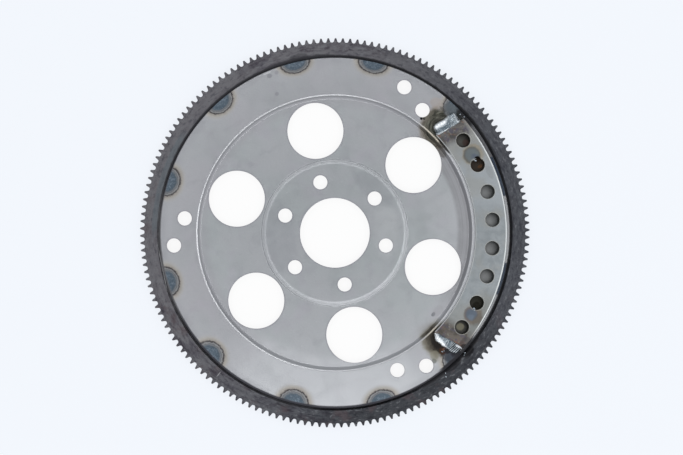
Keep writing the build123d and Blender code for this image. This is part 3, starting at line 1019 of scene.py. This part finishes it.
# Soot beside the plate's two end beads and on the upper side, a pale scratch, and a painted line of light
# along the groove in the west
gear.stained((
    (160.8, 26, 2, 12, 0.6, (34, 35, 38)), (160.4, 5, 2, 24, 0.3, (42, 43, 46)),
    (161.2, -41.4, 4.6, 7, 0.9, (24, 24, 26)), (161, -48, 3.4, 10, 0.6, (28, 28, 31)),
    (163.5, -57, 3, 9, 0.4, (46, 47, 50)), (162, 254, 2.6, 9, 0.45, (50, 49, 52)),
    (162.5, 102, 3, 9, 0.5, (50, 50, 54)), (165.5, 231, 3.2, 0.45, 0.7, (140, 140, 142)),
    (159.4, 192, 0.35, 22, 0.7, (190, 190, 192)),
), gear.centred(gear.noise(5, 6, 4, 0.65), 0.35))
ring_material = gear.finish(patch.ramp(0.3, 0.7, 0.55, 0.42), fine, 0.04, soot_and_shade)

# Balance plate: satin, lighter to the north and duller at its ends
bar = Shader("weight_steel")
mottle = bar.noise(8, 1, 4, 0.6, 0.4)
fine = bar.noise(1.4, 2)
wobble = bar.centred(bar.noise(4, 3, 4, 0.65), 1)
bar.colour = bar.mix(mottle.ramp(0.3, 0.7), (124, 129, 132), (142, 147, 150))
bar.lay(bar.north.ramp(15, 35, 0.7), (150, 155, 159))
bar.lay(bar.math("ABSOLUTE", bar.north).ramp(55, 82, 0.6), (126, 126, 122))
bar.lay(bar.north.ramp(-45, -65) * bar.radius.ramp(140, 148), (112, 114, 112), 0.8)
bar.clouds((
    (20, 4, 3, 0.5, 0, 0.45, 0.65, 0.5, (138, 138, 134)),
    (1.4, 2, 3, 0.6, 0, 0.55, 0.8, 0.3, (114, 117, 116)),
))
# The scorch at each end: the side, how far from the end it reaches, how far it fades, and its colour
for side, reach, fade, shade in ((1, -12, 6, (98, 95, 93)), (-1, -13, 8, (96, 90, 84))):
    at, off = bar.in_end(side)
    off = off + wobble * 3
    heat = off.ramp(reach - fade, reach + 1.5) * at.ramp(15.5, 11.5, 1, 0.35)
    burnt = bar.mix(mottle.ramp(0.38, 0.62), shade, tuple(level * 0.72 for level in shade))
    for size, seed, start, full, strength, blob in (
        (5, 6, 0.5, 0.62, 0.85, (78, 75, 86)), (3.5, 11, 0.58, 0.7, 0.8, (122, 119, 113)),
    ):
        blobs = bar.noise(size, seed + side).ramp(start, full, strength)
        burnt = bar.mix(blobs, burnt, blob)
    rust = bar.noise(4.5, 8 + side).ramp(0.54, 0.66, 0.7)
    burnt = bar.mix(rust * bar.band(off, -9, -1, 2), burnt, (116, 84, 66))
    bar.lay(heat, burnt, 0.94)
# The plugs' heat marks: their half widths, how far the halo lies outwards, and the colours of the
# halo, of the ring in it, of the middle and of its core. Below, a row is how far a layer lies
# outwards and round, how much it wavers, where it fades, its strength and its colour.
PLUG_MARKS = (
    (7.6, 1, (132, 124, 108), (76, 76, 74), (100, 107, 110), (84, 92, 106)),
    (6.2, 2.6, (98, 88, 78), (94, 88, 86), (84, 94, 106), (98, 108, 120)),
)
for (radius, angle), (size, halo_out, halo, outline, middle, core) in zip(PLUG_SPOTS, PLUG_MARKS):
    for out, turn, waver, low, high, strength, shade in (
        (halo_out, 0, 2.4, size + 0.6, size + 3.6, 0.7, halo),
        (0, 0, 1.1, size - 0.9, size + 1.1, 0.75, outline),
        (0.5, 0, 1.4, size - 3, size + 0.4, 0.9, middle),
        (1.5, -1, 2, 1.2, 4.2, 0.7, core),
    ):
        away = bar.spot(polar(radius + out, angle + turn)) + wobble * waver
        bar.lay(away.fade(low, high, strength), shade)
# Painted highlights along the plate's outer edge, brightest along its middle, with darker steel just past it,
# and along its inner edge and round the holes
edge_at = bar.radius + wobble * 0.12
middle_part = bar.sector(1, 32, 7)
edge_highlight = bar.band(edge_at, weight_outer_r - 1.3, weight_outer_r - 0.65, 0.35)
edge_highlight = edge_highlight * (middle_part * 0.4 + 0.5)
bar.lay(edge_highlight, bar.mix(middle_part, (128, 121, 116), (205, 208, 208)))
past_edge = edge_at.ramp(weight_outer_r - 0.65, weight_outer_r - 0.3)
bar.lay(past_edge, bar.mix(middle_part, (74, 72, 74), (116, 118, 121)), 0.9)
bar.lay(bar.radius.fade(WEIGHT_INNER_R + 0.5, WEIGHT_INNER_R + 1.1, 0.7), (178, 180, 180))
hole_rim = bar.least(*map(bar.spot, hole_middles)) - WEIGHT_HOLE_R
bar.lay(hole_rim.fade(0.4, 1.1, 0.5), (168, 167, 161))
bar.stained((
    (144.7, 27.7, 3.2, 3, 1, (20, 18, 18)), (143.8, -26.6, 3.2, 3.2, 1, (18, 17, 19)),
    (150.5, -31, 4, 7, 0.35, (84, 82, 78)), (153.6, -39.6, 4.6, 6, 0.6, (62, 58, 60)),
    (155.4, -41.4, 3, 4, 0.8, (36, 33, 34)), (150, 22, 3, 7, 0.2, (96, 94, 88)),
), wobble * 0.15)
weight_material = bar.finish(mottle.ramp(0.3, 0.7, 0.34, 0.4), fine, 0.012)

# Weld metal: painted silver highlights on the far side of each end bead, with grey-teal scale over its middle
SCALE_DARK = (90, 102, 110)
SCALE_LIGHT = (122, 131, 138)
LOBE = (148, 156, 160)
SILVER_HIGHLIGHT = (236, 240, 243)
weld = Shader("weld_steel", gain=1)
patch = weld.noise(3.2, 1, 4)
wobble = weld.centred(weld.noise(2.2, 3), 1)
upper_side = weld.north.ramp(-1, 1)
lower_side = 1 - upper_side
upper_at, upper_off = weld.in_end(1)
lower_at, lower_off = weld.in_end(-1)


def lean_highlight(at, off, level, slope, bends):
    """Painted silver highlight where a bead's top leans outwards."""
    line = at * slope + level
    for place, extra in bends:
        past = weld.math("MAXIMUM" if extra > 0 else "MINIMUM", at - place, 0)
        line = line + past * abs(extra)
    return (off - line + wobble).ramp(-2.2, 1.4)


lobed, combed = upper_at.ramp(0, 3), lower_at.ramp(2, 6)
weld.colour = weld.mix(patch.ramp(0.35, 0.65), SCALE_DARK, SCALE_LIGHT)
blobs = patch.ramp(0.4, 0.6)
weld.lay(lobed * upper_side, weld.mix(blobs, SCALE_LIGHT, LOBE))
weld.lay(combed * lower_side, weld.mix(blobs, LOBE, (186, 193, 198)))
# Painted glints, and dark specks
glint = weld.noise(1.5, 5, 3, 0.7)
weld.lay(glint.ramp(0.56, 0.66, 0.55), (206, 212, 216))
weld.lay(glint.ramp(0.45, 0.36, 0.5), (70, 82, 92))
weld.lay((lower_at + wobble).ramp(11, 14, 0.7) * lower_side, (46, 50, 54))
comb_wave, _, comb_start = END_BEADS["lower"]["comb"]
comb = (lower_off * COMB_LEAN + lower_at) * (2 * pi / comb_wave)
comb = weld.math("SINE", comb).ramp(0.4, -0.5, 0.95)
weld.lay(comb * lower_at.ramp(comb_start, comb_start + 3) * lower_side, (30, 34, 40))
# Painted highlights along each bead's lap and at its end, joined to the silver
upper_lap = (upper_off + wobble).ramp(-1, -1.8) * 0.6
lower_lap = (lower_off + wobble).ramp(-1.2, -1.9) * 0.3
upper_end = (upper_at + wobble).ramp(7.6, 9) * 0.5
lower_end = lower_at.ramp(7, 9.5) * lower_off.ramp(0.6, -0.5, 0.9)
upper_highlight = weld.most(lean_highlight(upper_at, upper_off, *END_BEADS["upper"]["lean"]), upper_lap, upper_end)
lower_highlight = weld.most(lean_highlight(lower_at, lower_off, *END_BEADS["lower"]["lean"]), lower_lap, lower_end)
weld.lay(upper_highlight * upper_side + lower_highlight * lower_side, SILVER_HIGHLIGHT)
weld_material = weld.finish(patch.ramp(0.3, 0.7, 0.34, 0.42), weld.noise(0.9, 2), 0.03)

metal_drop = Shader("drop_steel", gain=1)
blobs = metal_drop.noise(0.8, 1, 2, 0.55).ramp(0.3, 0.7)
metal_drop.colour = metal_drop.mix(blobs, (130, 140, 150), (190, 196, 203))
drop_material = metal_drop.finish(0.25, metal_drop.noise(0.4, 2, 2, 0.55), 0.02)


def dress(made, material, slot, *nodes):
    """Gives a piece its material, and puts it in place of CAD nodes."""
    made.data.materials.clear()
    made.data.materials.append(material)
    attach(made, "root")
    if nodes:
        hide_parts(*nodes)


dress(disc, disc_material, "disc_steel", "flexplate_disc")
dress(ring, ring_material, "ring_steel", "ring_gear")
dress(weight, weight_material, "weight_steel", "balance_weight")
for node, bead in beads.items():
    dress(bead, weld_material, "weld_steel", node)
dress(spatter, drop_material, "weld_steel")

# A pale floor that glows for the camera and for mirror images, and is only paint for other light
FLOOR_HALF = 12 / MM
FLOOR_GLOW = 0.88
corners = [(x, y, ring_back) for y in (-FLOOR_HALF, FLOOR_HALF) for x in (-FLOOR_HALF, FLOOR_HALF)]
floor = piece_from("floor", corners, [(0, 1, 3, 2)])
pale = Shader("pale_floor", gain=1)
floor_colour = pale.mix(pale.radius.ramp(150, 172), (255, 255, 255), (245, 249, 255))
paint = pale.node("ShaderNodeBsdfDiffuse", Color=floor_colour)
glow = pale.node("ShaderNodeEmission", Color=floor_colour, Strength=1)
rays = pale.node("ShaderNodeLightPath").outputs
straight = pale.most(*(rays[f"Is {kind} Ray"] for kind in ("Camera", "Glossy", "Transmission")))
blend = pale.node("ShaderNodeMixShader", Fac=straight * FLOOR_GLOW)
pale.feed(blend.inputs[1], paint.outputs[0])
pale.feed(blend.inputs[2], glow.outputs[0])
pale.node("ShaderNodeOutputMaterial", Surface=blend.outputs[0])
floor.data.materials.append(pale.material)

# A ring of soft lamps overhead. A row is a lamp's direction, its power and its size.
LAMP_TILT = 28
LAMP_AWAY = 1.5
LAMP_WATTS = 1.55
LAMPS = {
    "E": (0, 1.15, 0.34), "NE": (45, 0.65, 0.38), "N": (90, 0.85, 0.38), "NW": (135, 0.85, 0.38),
    "W": (180, 0.72, 0.42), "SW": (225, 0.8, 0.38), "S": (270, 1.4, 0.38), "SE": (315, 1.15, 0.38),
}
# Wide dim ones low in the south-east, which the rim step's far slopes show
LOW_LAMP_AZIMUTHS = (0, -45, -90)
LOW_LAMP_TILT = 70
LOW_LAMP_WATTS = 0.7
LOW_LAMP_SIZE = 1.2


def softbox(name, azimuth, tilt, watts, size):
    """A square lamp that faces the object from a direction."""
    light = bpy.data.lights.new(name, "AREA")
    light.shape = "SQUARE"
    light.size = size
    light.energy = watts
    lamp = placed(name, light)
    lamp.location = polar(sin(radians(tilt)), azimuth, cos(radians(tilt))) * LAMP_AWAY
    lamp.rotation_euler = (-lamp.location).to_track_quat("-Z", "Y").to_euler()


for where, (azimuth, power, size) in LAMPS.items():
    softbox(f"softbox_{where}", azimuth, LAMP_TILT, LAMP_WATTS * power, size)
for number, azimuth in enumerate(LOW_LAMP_AZIMUTHS):
    softbox(f"softbox_low_{number}", azimuth, LOW_LAMP_TILT, LOW_LAMP_WATTS, LOW_LAMP_SIZE)

world = bpy.data.worlds.new("studio")
world.use_nodes = True
sky = world.node_tree.nodes["Background"].inputs
sky["Color"].default_value = (0.93, 0.96, 1, 1)
sky["Strength"].default_value = 0.42
bpy.context.scene.world = world

# The camera looks straight down. The photograph's size, the object's centre in it and its scale are
# in pixels, and pixels a millimetre.
PHOTO_PIXELS = (683, 455)
PHOTO_CENTRE = (334.85, 232.86)
PHOTO_SCALE = 1.1055
PHOTO_TURN = 0.4
CAMERA_HEIGHT = 1.5
SENSOR = 36
camera_data = bpy.data.cameras.new("camera")
camera_data.sensor_width = SENSOR
camera_data.lens = SENSOR * CAMERA_HEIGHT / (PHOTO_PIXELS[0] / PHOTO_SCALE * MM)
camera_data.clip_end = 60
camera = placed("camera", camera_data)
across = (PHOTO_PIXELS[0] / 2 - PHOTO_CENTRE[0]) / PHOTO_SCALE * MM
up = (PHOTO_CENTRE[1] - PHOTO_PIXELS[1] / 2) / PHOTO_SCALE * MM
camera.location = polar(across, PHOTO_TURN) + polar(up, PHOTO_TURN + 90)
camera.location.z = CAMERA_HEIGHT + rim_front * MM
camera.rotation_euler = (0, 0, radians(PHOTO_TURN))
bpy.context.scene.camera = camera
bpy.context.scene.view_settings.view_transform = "Standard"
